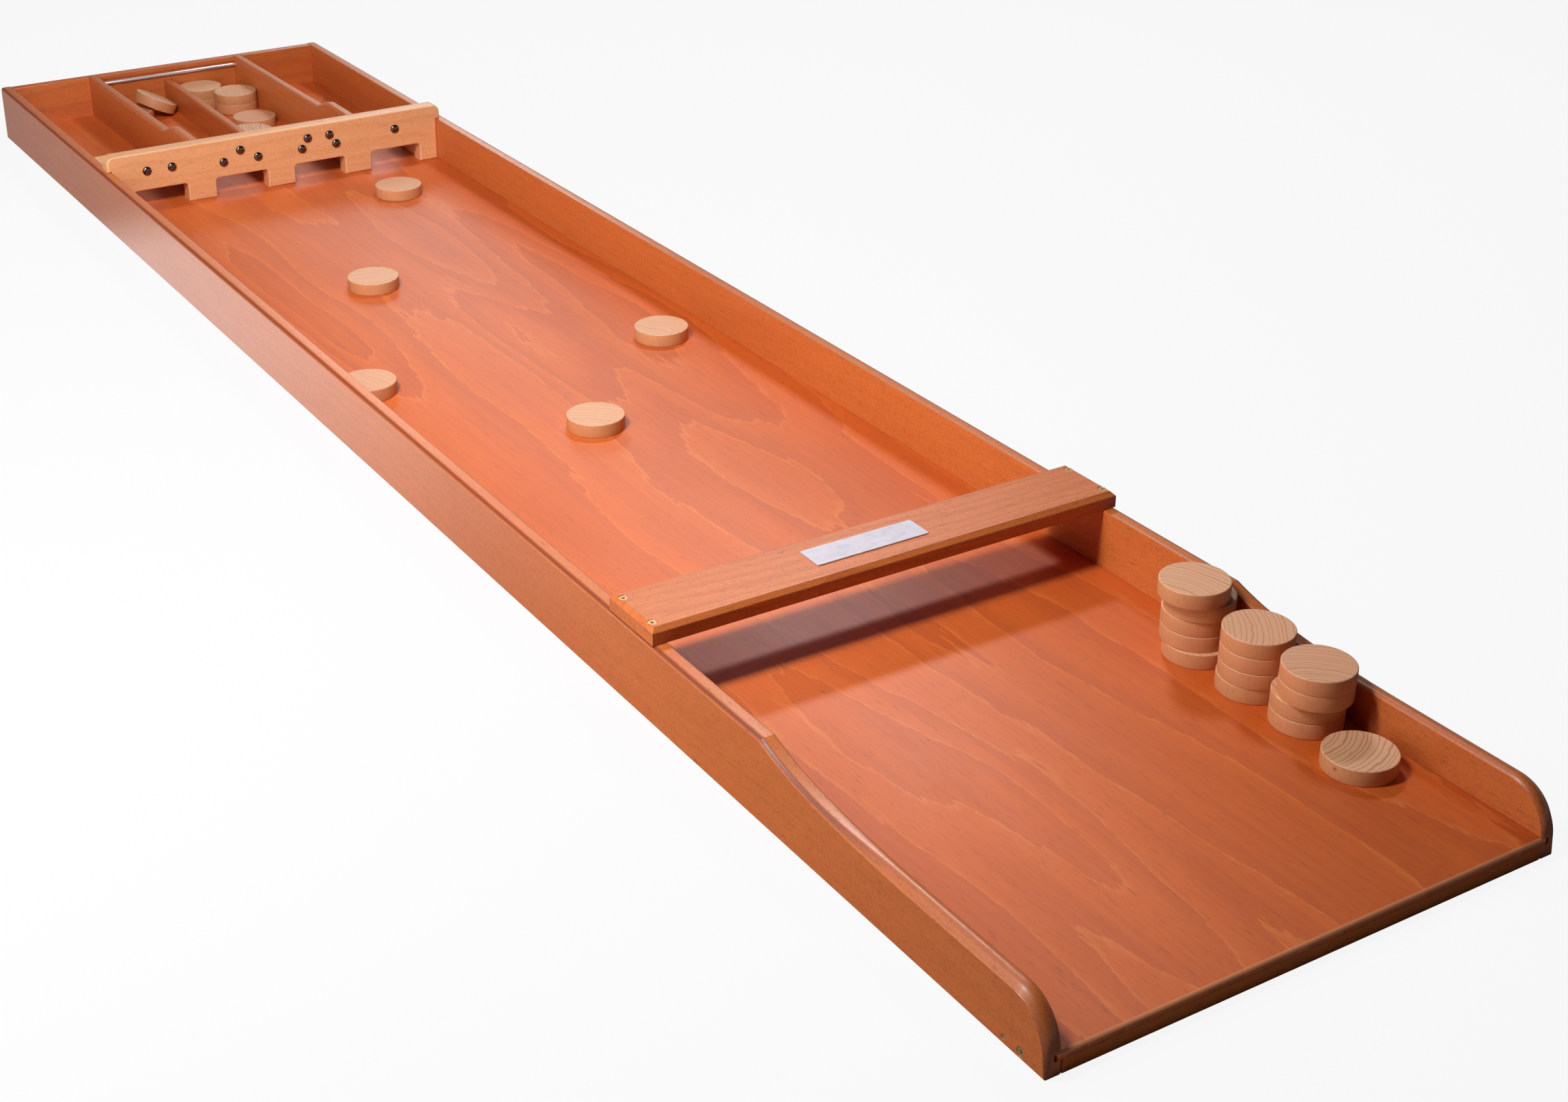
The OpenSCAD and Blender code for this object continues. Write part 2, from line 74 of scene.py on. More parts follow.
# Shader graphs
class Value:
    # A socket on which Python's operators add Math nodes
    def __init__(self, graph, socket):
        self.graph = graph
        self.socket = socket

    def math(self, operation, *others):
        inputs = dict(enumerate((self, *others)))
        return self.graph.node("ShaderNodeMath", {"operation": operation}, inputs)

    def back(self, operation, other):
        return self.graph.node("ShaderNodeMath", {"operation": operation}, {0: other, 1: self})

    def __add__(self, other):
        return self.math("ADD", other)

    def __radd__(self, other):
        return self.back("ADD", other)

    def __sub__(self, other):
        return self.math("SUBTRACT", other)

    def __rsub__(self, other):
        return self.back("SUBTRACT", other)

    def __mul__(self, other):
        return self.math("MULTIPLY", other)

    def __rmul__(self, other):
        return self.back("MULTIPLY", other)

    def __truediv__(self, other):
        return self.math("DIVIDE", other)

    def __rtruediv__(self, other):
        return self.back("DIVIDE", other)

    def swing(self, size):
        # A noise about 0.5 turned into one about 0 of this size
        return (self - 0.5) * size

    def output(self, name):
        return Value(self.graph, self.socket.node.outputs[name])


class Graph:
    # The nodes of one material or world
    def __init__(self, tree):
        self.tree = tree
        tree.nodes.clear()

    def node(self, kind, settings=None, inputs=None, output=0):
        # Any node: its settings are made first, then each socket gets its value or link
        made = self.tree.nodes.new(kind)
        for name, value in (settings or {}).items():
            setattr(made, name, value)
        for name, value in (inputs or {}).items():
            if isinstance(value, Value):
                self.tree.links.new(value.socket, made.inputs[name])
            else:
                made.inputs[name].default_value = value
        return Value(self, made.outputs[output]) if len(made.outputs) else None

    def point(self):
        return self.node("ShaderNodeTexCoord", output="Object")

    def attribute(self, name, output="Fac"):
        return self.node("ShaderNodeAttribute", {"attribute_name": name}, output=output)

    def mix(self, factor, a, b):
        return self.node("ShaderNodeMix", {"data_type": "RGBA"}, {0: factor, 6: a, 7: b}, output=2)

    def place(self, source, scale, offset=(0, 0, 0), turn=(0, 0, 0)):
        return self.node("ShaderNodeMapping", None,
                         {"Vector": source, "Location": offset, "Rotation": turn, "Scale": scale})

    def noise(self, source, cells, detail, offset=(0, 0, 0), roughness=0.5):
        # Noise with the given number of cells per metre along x, y and z
        return self.node("ShaderNodeTexNoise", None,
                         {"Vector": self.place(source, cells, offset), "Scale": 1.0,
                          "Detail": detail, "Roughness": roughness})

    def noises(self, source, layers):
        # Each layer holds a noise's cells and detail, then offset and roughness if they differ
        return [self.noise(source, *layer) for layer in layers.values()]

    def ramp(self, factor, low, high):
        # 0 below low, 1 above high and smooth between them
        return self.node("ShaderNodeMapRange", {"interpolation_type": "SMOOTHSTEP"},
                         {"Value": factor, "From Min": low, "From Max": high})

    def marked(self, colour, noise, mark, tone):
        # A mark is the noise value where it starts, the one where it is full, and its share
        start, full, share = mark
        return self.mix(self.ramp(noise, start, full) * share, colour, tone)

    def parts(self, vector):
        split = self.node("ShaderNodeSeparateXYZ", None, {"Vector": vector})
        return split, split.output("Y"), split.output("Z")

    def join(self, x, y, z):
        return self.node("ShaderNodeCombineXYZ", None, {"X": x, "Y": y, "Z": z})

    def bump(self, height, distance, strength):
        return self.node("ShaderNodeBump", None,
                         {"Height": height, "Distance": distance, "Strength": strength})

    def surface(self, inputs):
        shader = self.node("ShaderNodeBsdfPrincipled", None, inputs)
        self.node("ShaderNodeOutputMaterial", None, {"Surface": shader})


def weighted(values, weights):
    return sum(value * weight for value, weight in zip(values, weights))


def newMaterial(name):
    material = bpy.data.materials.new(name)
    material.use_nodes = True
    return material, Graph(material.node_tree)


# Wood
stainedWood = {
    "pale": paint(212, 118, 56),      # early wood under the stain
    "deep": paint(180, 85, 36),       # late wood
    "pore": paint(104, 44, 20),
    "edge": paint(108, 44, 30),       # darker colour on the rounded edges
    "edgeShare": 0.85,
    "ringPitch": 9 * mm,
    "ringShare": 0.12,
    "roughness": 0.44,
    "lacquer": 0.16,
    "outerLacquer": 1.0,              # on the walls' outer faces, which hands don't rub
    "lacquerBlur": 0.22,
    "shine": 0.55,
}
crossStained = {**stainedWood, "ringShare": 0.3, "ringPitch": 13 * mm, "edgeShare": 0.3}
frontStained = {**stainedWood, "shine": 0.1, "lacquer": 0.0}
paleWood = {
    "pale": paint(242, 184, 134),
    "deep": paint(222, 154, 102),
    "pore": paint(164, 98, 56),
    # painted highlight on the rounded edges
    "edge": paint(246, 204, 162),
    "edgeShare": 0.45,
    "ringPitch": 7 * mm,
    "ringShare": 0.32,
    "roughness": 0.5,
    "lacquer": 0.25,
    "lacquerBlur": 0.3,
    "shine": 0.5,
}
underWood = {
    "pale": paint(156, 86, 40),
    "deep": paint(122, 64, 28),
    "pore": paint(66, 30, 12),
    "edge": paint(140, 74, 38),
    "edgeShare": 0.45,
    "ringPitch": 12 * mm,
    "ringShare": 0.4,
    "roughness": 0.55,
    "lacquer": 0.0,
    "lacquerBlur": 0.3,
    "shine": 0.1,
}
sawnGrain = {
    "across": (0.8, 0.6),             # direction across the growth layers, sideways and upwards
    "bend": 9,                        # how many layers the slow noise and the ripple shift them
    "ripple": 0.9,
    "lateFrom": (0.35, 0.96),         # share of a layer between which late wood sets in
    "fibreShare": 0.6,
    # Marks, as marked() takes them
    "patches": (0.38, 0.68, 0.35),
    "flecks": (0.66, 0.74, 0.22),
    "pores": (0.64, 0.76, 0.5),
    "speckle": (0.46, 0.7, 0.3),
    "dulling": (0.12, 0.14),          # change of roughness by the fibres and the wear
    "heights": (0.5, -0.8, 0.15),     # of fibres, pores and wear in the relief
    "relief": (0.08 * mm, 0.6),       # its depth and strength
}
# Cells across the grain, along it and in height
sawnNoise = {
    "slow": ((11, 1.6, 11), 3),
    "ripple": ((90, 9, 90), 3),
    "fibres": ((1500, 26, 1500), 2),
    "pores": ((1250, 95, 1250), 1, (3.1, 0.7, 1.9)),
    "flecks": ((420, 150, 700), 1, (7, 2, 5)),
    "patches": ((7, 2.2, 7), 2, (1, 4, 2)),
}
rubbedNoise = {
    "wear": ((160, 160, 160), 3),
    "speckle": ((700, 420, 700), 3, (0, 0, 0), 0.7),
}
# Distances from the tray's middle between which a wall's edge turns into its outer face
outerFace = (cadBox[1][0] - 0.5 * mm, cadBox[1][0] - 0.05 * mm)


def grained(name, look, along, offset=(0, 0, 0)):
    # Sawn beech: growth layers are planes bent by a slow noise, seen as a saw-tooth of tone with
    # one sharp side; over them lie long fibres, short dark pores and small ray flecks
    material, g = newMaterial(name)
    s = sawnGrain
    turn = {"x": (0, 0, math.pi / 2), "y": (0, 0, 0)}[along]
    point = g.point()
    grain = g.place(point, (1, 1, 1), offset, turn)
    slow, ripple, fibres, pores, flecks, patches = g.noises(grain, sawnNoise)
    wear, speckle = g.noises(point, rubbedNoise)
    sideways, upwards = g.parts(grain)[::2]
    depth = sideways * s["across"][0] + upwards * s["across"][1]
    layers = depth / look["ringPitch"] + slow * s["bend"] + ripple * s["ripple"]
    late = g.ramp(layers.math("FRACT"), *s["lateFrom"])
    poreMask = g.ramp(pores, *s["pores"][:2])
    rim = g.attribute("rim")
    deepShare = late * look["ringShare"] + fibres * s["fibreShare"]
    colour = g.mix(deepShare, look["pale"], look["deep"])
    colour = g.marked(colour, patches, s["patches"], look["deep"])
    colour = g.marked(colour, flecks, s["flecks"], look["pale"])
    colour = g.marked(colour, pores, s["pores"], look["pore"])
    # Rounded edges take the look's edge colour: darker on the stained woods and battens, a painted
    # highlight on the pale wood
    colour = g.mix(rim * look["edgeShare"], colour, look["edge"])
    colour = g.marked(colour, speckle, s["speckle"], look["pore"])
    gloss = look["roughness"] + fibres.swing(s["dulling"][0]) + wear.swing(s["dulling"][1])
    height = weighted((fibres, poreMask, wear), s["heights"])
    lacquer = look["lacquer"]
    if along == "y" and "outerLacquer" in look:
        outside = g.ramp(g.parts(point)[0].math("ABSOLUTE"), *outerFace)
        lacquer = lacquer + outside * (look["outerLacquer"] - lacquer)
    g.surface({"Base Color": colour, "Roughness": gloss, "Coat Weight": lacquer,
               "Coat Roughness": look["lacquerBlur"], "Specular IOR Level": look["shine"],
               "Normal": g.bump(height, *s["relief"])})
    return material


veneerLook = {
    "pale": paint(213, 99, 26),
    "deep": paint(189, 81, 20),
    "line": paint(232, 134, 66),      # thin pale line where a growth layer comes to the face
    "lineShare": 0.34,
    "lineEnds": (0.02, 0.11),         # share of a layer at which the line is full and has faded
    "pore": paint(128, 54, 20),
    "pores": (0.62, 0.75, 0.42),      # a mark, as marked() takes it
    "layers": 11,                     # growth layers over the range of the slow noise
    "jag": 0.6,                       # how many layers their edges are jagged by
    "toneFrom": (0.1, 0.9),           # share of a layer between which its tone deepens
    "deepShares": (0.55, 0.9, 0.9),   # of that tone, of the streaks and of the broad clouds
    "fibres": (0.35, 0.5),            # noise value above which fibres darken, and how much
    "roundedEdge": paint(250, 165, 115),     # painted highlight on the sheet's rounded front edge
    "highlightShare": 0.8,
    "highlightFrom": (12.4 * mm, 13.4 * mm),   # heights between which the painted highlight starts
    "highlightTo": (1.4 * mm, 2.8 * mm),       # and how far back from the front edge it ends
    "roughness": 0.56,
    "lacquer": (0.05, 0.5),           # worn thin at the player's end, whole past it
    "lacquerFrom": (0.1, 0.33),       # distance from the front edge between which it changes
    "lacquerBlur": 0.5,
    "shine": 0.6,
    "dulling": (0.1, 0.1),            # change of roughness by the clouds and the fibres
    "heights": (0.4, -0.8, 0.15),     # of fibres, pores and lines in the relief
    "relief": (0.06 * mm, 0.5),
}
veneerNoise = {
    "slow": ((7.5, 1.35, 1), 1.5, (3.7, 1.2, 0), 0.45),
    "jag": ((120, 14, 1), 4, (1, 5, 0), 0.6),
    "broad": ((5, 1.7, 1), 3, (2, 9, 0)),
    "streaks": ((160, 5, 1), 3, (4, 2, 0)),
    "fibres": ((1300, 22, 1300), 2),
    "pores": ((1300, 90, 1300), 1, (2.3, 0.4, 1.1)),
    "cloud": ((30, 12, 1), 3, (5, 1, 0)),
}


def veneer():
    # Rotary-cut sheet: contour lines of a slow noise drawn out along the tray, each with a pale
    # line on it and a tone that deepens away from it; short pores run lengthwise
    material, g = newMaterial("veneer")
    v = veneerLook
    point = g.point()
    slow, jag, broad, streaks, fibres, pores, cloud = g.noises(point, veneerNoise)
    saw = (slow * v["layers"] + jag.swing(v["jag"])).math("FRACT")
    line = g.ramp(saw, 0, v["lineEnds"][0]) * (1 - g.ramp(saw, *v["lineEnds"]))
    tone = g.ramp(saw, *v["toneFrom"])
    poreMask = g.ramp(pores, *v["pores"][:2])
    deepShare = weighted((tone, streaks - 0.5, broad - 0.5), v["deepShares"])
    colour = g.mix(deepShare.math("MAXIMUM", 0), v["pale"], v["deep"])
    colour = g.mix(line * v["lineShare"], colour, v["line"])
    colour = g.mix((fibres - v["fibres"][0]) * v["fibres"][1], colour, v["deep"])
    colour = g.marked(colour, pores, v["pores"], v["pore"])
    along, upwards = g.parts(point)[1:]
    back = along - cadBox[0][1]
    # Painted highlight on the sheet's rounded front edge
    roundedEdge = g.ramp(upwards, *v["highlightFrom"]) * (1 - g.ramp(back, *v["highlightTo"]))
    colour = g.mix(roundedEdge * v["highlightShare"], colour, v["roundedEdge"])
    thin, whole = v["lacquer"]
    lacquer = thin + g.ramp(back, *v["lacquerFrom"]) * (whole - thin)
    gloss = v["roughness"] + cloud.swing(v["dulling"][0]) + fibres.swing(v["dulling"][1])
    height = weighted((fibres, poreMask, line), v["heights"])
    g.surface({"Base Color": colour, "Roughness": gloss, "Coat Weight": lacquer,
               "Coat Roughness": v["lacquerBlur"], "Specular IOR Level": v["shine"],
               "Normal": g.bump(height, *v["relief"])})
    return material


discLook = {
    "pale": paint(224, 172, 132),
    "deep": paint(212, 140, 98),
    "ring": paint(160, 98, 64),
    "side": paint(200, 141, 94),
    "sidePore": paint(156, 98, 62),
    "ringPitch": 3.6 * mm,
    "ringShift": (1.1, 2.2),          # how many rings the bend and the unevenness shift them
    "lateFrom": (0.6, 0.92),          # share of a ring between which late wood sets in
    "lateTo": (0.94, 1.0),            # and between which it ends
    "ringShare": 0.8,
    "sideShares": (0.3, 0.6),         # of the rings and of the streaks in the side's deep tone
    # Marks, as marked() takes them
    "dots": (0.45, 0.72, 0.3),
    "pores": (0.6, 0.72, 0.55),
    "clouds": (0.4, 0.5),             # noise value above which clouds darken, and how much
    # share of a painted highlight on the rounded rim
    "edgeShare": 0.4,
    "knot": (0.12854, -0.88297, 0.023),   # middle of the one knot, on the side of the single disc
    "knotSize": (0.6 * mm, 2.1 * mm),     # where its dark heart ends and where its rim ends
    "knotColour": paint(142, 74, 36),
    "knotShare": 0.8,
    "roughness": 0.56,
    "dulling": 0.16,
    "wax": 0.45,
    "waxBlur": 0.5,
    "heights": (0.3, -0.5, 0.2),      # of dots, pores and rings in the relief
    "relief": (0.08 * mm, 0.5),
}
# Cells across the tree's axis, in both directions, and along it
discNoise = {
    "bend": ((60, 60, 4), 3),
    "dots": ((2300, 2300, 160), 2),
    "clouds": ((55, 55, 30), 3),
    "streak": ((900, 900, 45), 2),
    "pores": ((1500, 1500, 130), 1, (2, 5, 1)),
}


def discWood():
    # End grain on the faces, growth rings round a pith far off the disc, and side grain round the
    # rim. The attribute "wood" holds each point's place in the disc's own tree, in metres
    material, g = newMaterial("discWood")
    d = discLook
    wood = g.attribute("wood", "Vector")
    rim, tone, flat = (g.attribute(name) for name in ("rim", "tone", "flat"))
    bend, dots, clouds, streak, pores = g.noises(wood, discNoise)
    x, y = g.parts(wood)[:2]
    far = (x * x + y * y).math("SQRT")
    uneven = g.noise(g.join(far, 0, 0), (140, 1, 1), 1)
    saw = (far / d["ringPitch"] + weighted((bend, uneven), d["ringShift"])).math("FRACT")
    late = g.ramp(saw, *d["lateFrom"]) * (1 - g.ramp(saw, *d["lateTo"]))
    face = g.mix(late * d["ringShare"], d["pale"], d["ring"])
    face = g.marked(face, dots, d["dots"], d["deep"])
    face = g.mix((clouds - d["clouds"][0]) * d["clouds"][1], face, d["deep"])
    poreMask = g.ramp(pores, *d["pores"][:2])
    side = g.mix(weighted((late, streak - 0.5), d["sideShares"]), d["side"], d["deep"])
    side = g.marked(side, pores, d["pores"], d["sidePore"])
    colour = g.mix(flat, side, face)
    # Painted highlight: the rounded rim is paler
    colour = g.mix(rim * d["edgeShare"], colour, d["pale"])
    colour = g.mix(tone, colour, d["deep"])
    away = g.node("ShaderNodeVectorMath", {"operation": "DISTANCE"}, {0: g.point(), 1: d["knot"]},
                  output="Value")
    knot = 1 - g.ramp(away + streak.swing(mm), *d["knotSize"])
    colour = g.mix(knot * d["knotShare"], colour, d["knotColour"])
    gloss = d["roughness"] + dots.swing(d["dulling"])
    height = weighted((dots, poreMask, late), d["heights"])
    g.surface({"Base Color": colour, "Roughness": gloss, "Coat Weight": d["wax"],
               "Coat Roughness": d["waxBlur"], "Normal": g.bump(height, *d["relief"])})
    return material


metalMarks = {
    "along": 60,                      # cells per metre of the scratches along their run
    "across": 2600,
    "tarnish": (140, 140, 140),
    "tarnished": (0.45, 0.75, 0.35),  # a mark, as marked() takes it
    "shades": (0.72, 0.8),            # share of the light that tarnish and scratches leave
    "dulling": (0.2, 0.12),           # change of roughness by the scratches and the tarnish
    "relief": 0.03 * mm,
}


def metal(name, colour, roughness, along, scratch, metallic=1.0, coat=0.0):
    # Fine marks drawn out along one axis over a slow cloud of tarnish
    material, g = newMaterial(name)
    m = metalMarks
    cells = [m["along"] if axis == along else m["across"] for axis in "xyz"]
    point = g.point()
    marks = g.noise(point, cells, 2)
    cloud = g.noise(point, m["tarnish"], 3)
    shaded = g.marked(colour, cloud, m["tarnished"], darker(colour, m["shades"][0]))
    shaded = g.mix(marks.swing(2 * scratch), shaded, darker(colour, m["shades"][1]))
    gloss = roughness + marks.swing(m["dulling"][0]) + cloud.swing(m["dulling"][1])
    g.surface({"Base Color": shaded, "Metallic": metallic, "Roughness": gloss, "Coat Weight": coat,
               "Normal": g.bump(marks, m["relief"], scratch)})
    return material


wallWood = grained("wallWood", stainedWood, "y")
crossWood = grained("crossWood", crossStained, "x", (0.31, 0.17, 0.4))
frontWood = grained("frontWood", frontStained, "x", (0.2, 0.3, 0.1))
gateWood = grained("gateWood", paleWood, "x", (0.1, 0.05, 0.3))
blockWood = grained("blockWood", paleWood, "y", (0.2, 0.4, 0.1))
battenWood = grained("battenWood", underWood, "x")
veneerFace = veneer()
discFace = discWood()
drawnSteel = metal("drawnSteel", paint(232, 228, 232), 0.34, "x", 0.3, metallic=0.75)
screwSteel = metal("screwSteel", paint(206, 168, 118), 0.36, "z", 0.5, metallic=0.6)
darkBronze = metal("darkBronze", paint(96, 78, 68), 0.2, "y", 0.2, coat=1.0)
sheetMetal = metal("sheetMetal", paint(200, 194, 204), 0.58, "x", 0.6, metallic=0.5)
print("materials made")


# Meshes
flatRing = 0.15 * mm          # one more ring this far inside a face keeps its shading flat
past = 2 * mm                 # how far a cutter reaches out of its piece


def corners(node):
    lo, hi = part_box(node)
    return np.array(lo), np.array(hi)


def middle(node):
    lo, hi = corners(node)
    return (lo + hi) / 2


def acrossX(u, v, w):
    return np.stack([w, u, v], axis=1)      # outline in (y, z), thickness along x


def acrossY(u, v, w):
    return np.stack([u, -w, v], axis=1)     # outline in (x, z) as the player sees it, along -y


def acrossZ(u, v, w):
    return np.stack([u, v, w], axis=1)      # outline in (x, y), thickness along z


def rectangle(u0, v0, u1, v1):
    return np.array([[u0, v0], [u1, v0], [u1, v1], [u0, v1]])


def arc(centre, radius, start, end, count):
    a = np.radians(np.linspace(start, end, count))
    return np.stack([centre[0] + radius * np.cos(a), centre[1] + radius * np.sin(a)], axis=1)


def roundedBox(lo, hi, radius):
    # Rectangle with quarter circles at its corners, anticlockwise from the lower left
    spots = [(lo[0], lo[1], 1, 1), (hi[0], lo[1], -1, 1), (hi[0], hi[1], -1, -1), (lo[0], hi[1], 1, -1)]
    return np.concatenate([
        arc((u + right * radius, v + up * radius), radius, 180 + 90 * turn, 270 + 90 * turn, 5)
        for turn, (u, v, right, up) in enumerate(spots)])


def addValues(mesh, values):
    # Each array of numbers or vectors becomes an attribute of the points
    for key, value in values.items():
        kind, field = ("FLOAT_VECTOR", "vector") if value.ndim == 2 else ("FLOAT", "value")
        mesh.attributes.new(key, kind, "POINT").data.foreach_set(field, value.ravel())


def finishMesh(name, points, faces, values=None):
    mesh = bpy.data.meshes.new(name)
    mesh.from_pydata(points.tolist(), [], faces)
    addValues(mesh, values or {})
    mesh.validate()
    piece = bpy.data.objects.new(name, mesh)
    scene.collection.objects.link(piece)
    return piece


def meshPoints(mesh):
    points = np.zeros(len(mesh.vertices) * 3, np.float32)
    mesh.vertices.foreach_get("co", points)
    return points.reshape(-1, 3)


def ringQuads(count, size):
    # Quads between neighbouring closed rings of points that are numbered ring by ring
    ring, spot = np.meshgrid(np.arange(count - 1), np.arange(size), indexing="ij")
    here, onward = ring * size + spot, ring * size + (spot + 1) % size
    return np.stack([here, onward, onward + size, here + size], axis=-1).reshape(-1, 4)


def ringNormals(outline):
    # Outward mitre at each corner of an anticlockwise outline: the sum of the two edge normals
    # divided by one plus their dot product, so that an inset keeps every edge's distance
    edge = np.roll(outline, -1, axis=0) - outline
    edge /= np.linalg.norm(edge, axis=1, keepdims=True)
    after = np.stack([edge[:, 1], -edge[:, 0]], axis=1)
    before = np.roll(after, 1, axis=0)
    share = 1 + (after * before).sum(axis=1, keepdims=True)
    return (after + before) / np.maximum(share, 0.3)


def stack(name, outline, insets, depths, place, rim):
    # Closed outline repeated ring by ring, drawn in by its inset and set at its depth, with quads
    # between the rings and one face at each end; "rim" is one value for each ring or point
    rings = outline[None] - insets[:, :, None] * ringNormals(outline)[None]
    points = place(rings[..., 0].ravel(), rings[..., 1].ravel(), depths.ravel())
    count, size = insets.shape
    faces = ringQuads(count, size).tolist()
    faces.append(np.arange(size)[::-1].tolist())
    faces.append(np.arange((count - 1) * size, count * size).tolist())
    return finishMesh(name, points, faces, {"rim": np.broadcast_to(rim, insets.shape).ravel()})


def prism(name, outline, low, high, place):
    # Sharp-edged stack of two rings, for cutters
    ends = np.array([[low], [high]]) + np.zeros((1, len(outline)))
    return stack(name, outline, 0 * ends, ends, place, 0)


def board(name, outline, low, high, place, dropLow, dropHigh, steps=5, start=0, rimLow=1,
          rimHigh=1, endShade=0):
    # A thickness with eased edges. At angle a the edge lies drop (1 - sin a) / (1 - sin start)
    # inside the outline and drop (cos start - cos a) / (1 - sin start) behind the face: a quarter
    # circle where start is 0, a flatter arc that breaks from the face where it is more. The
    # attribute "rim" is the edge weight at the middle of each eased edge, the end weight between
    # the two edges if that is more, and 0 on the faces; on a wall's nose the end weight is painted
    # shade
    dropLow = np.broadcast_to(dropLow, len(outline)).astype(float)
    dropHigh = np.broadcast_to(dropHigh, len(outline)).astype(float)
    first = math.radians(start)
    share = np.linspace(0, 1, steps + 1)
    angle = first + share * (math.pi / 2 - first)
    drawn = ((1 - np.sin(angle)) / (1 - math.sin(first)))[:, None]
    behind = ((math.cos(first) - np.cos(angle)) / (1 - math.sin(first)))[:, None]
    insets = np.concatenate([
        [dropLow + flatRing], drawn * dropLow, drawn[::-1] * dropHigh, [dropHigh + flatRing]])
    depths = np.concatenate([
        [low + 0 * dropLow], low + behind * dropLow,
        high - behind[::-1] * dropHigh, [high + 0 * dropHigh]])
    roundedEdge = np.sin(math.pi * share)[:, None]
    bare = np.zeros((1, len(outline)))
    edges = np.concatenate([roundedEdge * (bare + rimLow), roundedEdge[::-1] * (bare + rimHigh)])
    rim = np.concatenate([bare, np.maximum(edges, endShade), bare])
    return stack(name, outline, insets, depths, place, rim)


def softened(line, reach, steps=3):
    # Line whose inner corners become parabolas between the points at reach before and after them,
    # p = (1 - s)^2 a + 2 s (1 - s) corner + s^2 b, with one more point outside each end. The
    # second result is 1 on the parabolas and 0 elsewhere
    line = np.array(line)
    corner = line[1:-1, None]
    back = (line[:-2] - line[1:-1])[:, None]
    onward = (line[2:] - line[1:-1])[:, None]
    back /= np.linalg.norm(back, axis=2, keepdims=True)
    onward /= np.linalg.norm(onward, axis=2, keepdims=True)
    s = np.linspace(0, 1, steps + 1)[None, :, None]
    a, b = corner + reach * back, corner + reach * onward
    curve = (1 - s) ** 2 * a + 2 * s * (1 - s) * corner + s ** 2 * b
    rows = np.concatenate([a + flatRing * back, curve, b + flatRing * onward], axis=1)
    roundedEdge = np.tile(np.concatenate([[0], np.ones(steps + 1), [0]]), len(line) - 2)
    points = np.concatenate([line[:1], rows.reshape(-1, 2), line[-1:]])
    return points, np.concatenate([[0], roundedEdge, [0]])


def turned(name, radius, depth, centre, axis, count=32):
    # Surface of revolution: at distance depth along the axis the circle has the given radius;
    # the first and last radius are 0, where one point closes the form
    axis = np.array(axis, float)
    helper = np.array([0, 0, 1.0]) if abs(axis[2]) < 0.9 else np.array([1.0, 0, 0])
    u = np.cross(helper, axis)
    u /= np.linalg.norm(u)
    v = np.cross(axis, u)
    a = np.linspace(0, 2 * math.pi, count, endpoint=False)[:, None]
    circle = np.cos(a) * u + np.sin(a) * v
    radius, depth = np.array(radius, float), np.array(depth, float)
    middles = np.array(centre) + depth[:, None] * axis
    rings = middles[1:-1, None] + radius[1:-1, None, None] * circle[None]
    points = np.concatenate([rings.reshape(-1, 3), middles[:1], middles[-1:]])
    rows = len(rings)
    spot = np.arange(count)
    onward = (spot + 1) % count
    base = (rows - 1) * count
    near = np.stack([0 * spot + rows * count, onward, spot], axis=1)
    far = np.stack([0 * spot + rows * count + 1, base + spot, base + onward], axis=1)
    turn = 1 if depth[0] < depth[-1] else -1      # keeps the faces outwards
    faces = [face for part in (ringQuads(rows, count), near, far) for face in part[:, ::turn].tolist()]
    return finishMesh(name, points, faces)


def bore(name, centre, axis, profile):
    # Turned cutter for a hole: pairs of radius and height above the face, in millimetres
    radius, depth = np.array([(0, profile[0][1]), *profile, (0, profile[-1][1])]).T * mm
    return turned(name, radius, depth, centre, axis, 40)


def cutAway(piece, *cutters):
    # Takes each cutter's volume out of the piece and removes the cutter
    for cutter in cutters:
        change = piece.modifiers.new("cut", "BOOLEAN")
        change.operation = "DIFFERENCE"
        change.solver = "EXACT"
        change.object = cutter
    view = bpy.context.evaluated_depsgraph_get()
    result = bpy.data.meshes.new_from_object(piece.evaluated_get(view))
    piece.modifiers.clear()
    piece.data = result
    for cutter in cutters:
        bpy.data.objects.remove(cutter)


def finished(piece, material, node, body="tray", angle=32):
    # Edges sharper than the angle, in degrees, stay crisp
    mesh = piece.data
    mesh.polygons.foreach_set("use_smooth", np.ones(len(mesh.polygons), bool))
    mesh.set_sharp_from_angle(angle=math.radians(angle))
    mesh.materials.clear()
    mesh.materials.append(material)
    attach(piece, body)
    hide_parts(node)


def makeSlab(node, name, shape, material):
    # Level board with rounded corners
    lo, hi = corners(node)
    outline = roundedBox(lo[:2], hi[:2], shape["corner"])
    piece = board(name, outline, lo[2], hi[2], acrossZ, shape["edge"], shape["edge"], 3)
    finished(piece, material, node)


# Side walls
wallShape = {
    "noseRadius": 31 * mm,
    "lowHeight": 46 * mm,
    "rampStart": 130 * mm,
    "rampEnd": 290 * mm,
    "rampPower": 3.4,
    "outerEdge": (4.4 * mm, 2.4 * mm),   # radius of the eased edge on the low and the high stretch
    "innerEdge": (2.4 * mm, 0.8 * mm),
    "footEdge": 0.8 * mm,
    "footRise": 27.6 * mm,        # height up to which the foot's edge grows into the top's
    "lowEdgeEnd": 235 * mm,       # where the wide edge of the low stretch has run out
    "edgeStart": 30,              # degrees at which the eased edges break from the faces
    "settles": (12.4 * mm, 43.8 * mm),   # length past nose and ramp in which the shading turns flat
    "outerRim": (0.15, 1.0),    # how dark the edge is on the low and on the high stretch
    "innerRim": (0.15, 0.3),
    "noseShade": 0.5,              # painted shade on the nose's end
    "sharpAngle": 14,
    "groove": (10 * mm, 15.2 * mm, 6 * mm),   # foot, top and depth
}
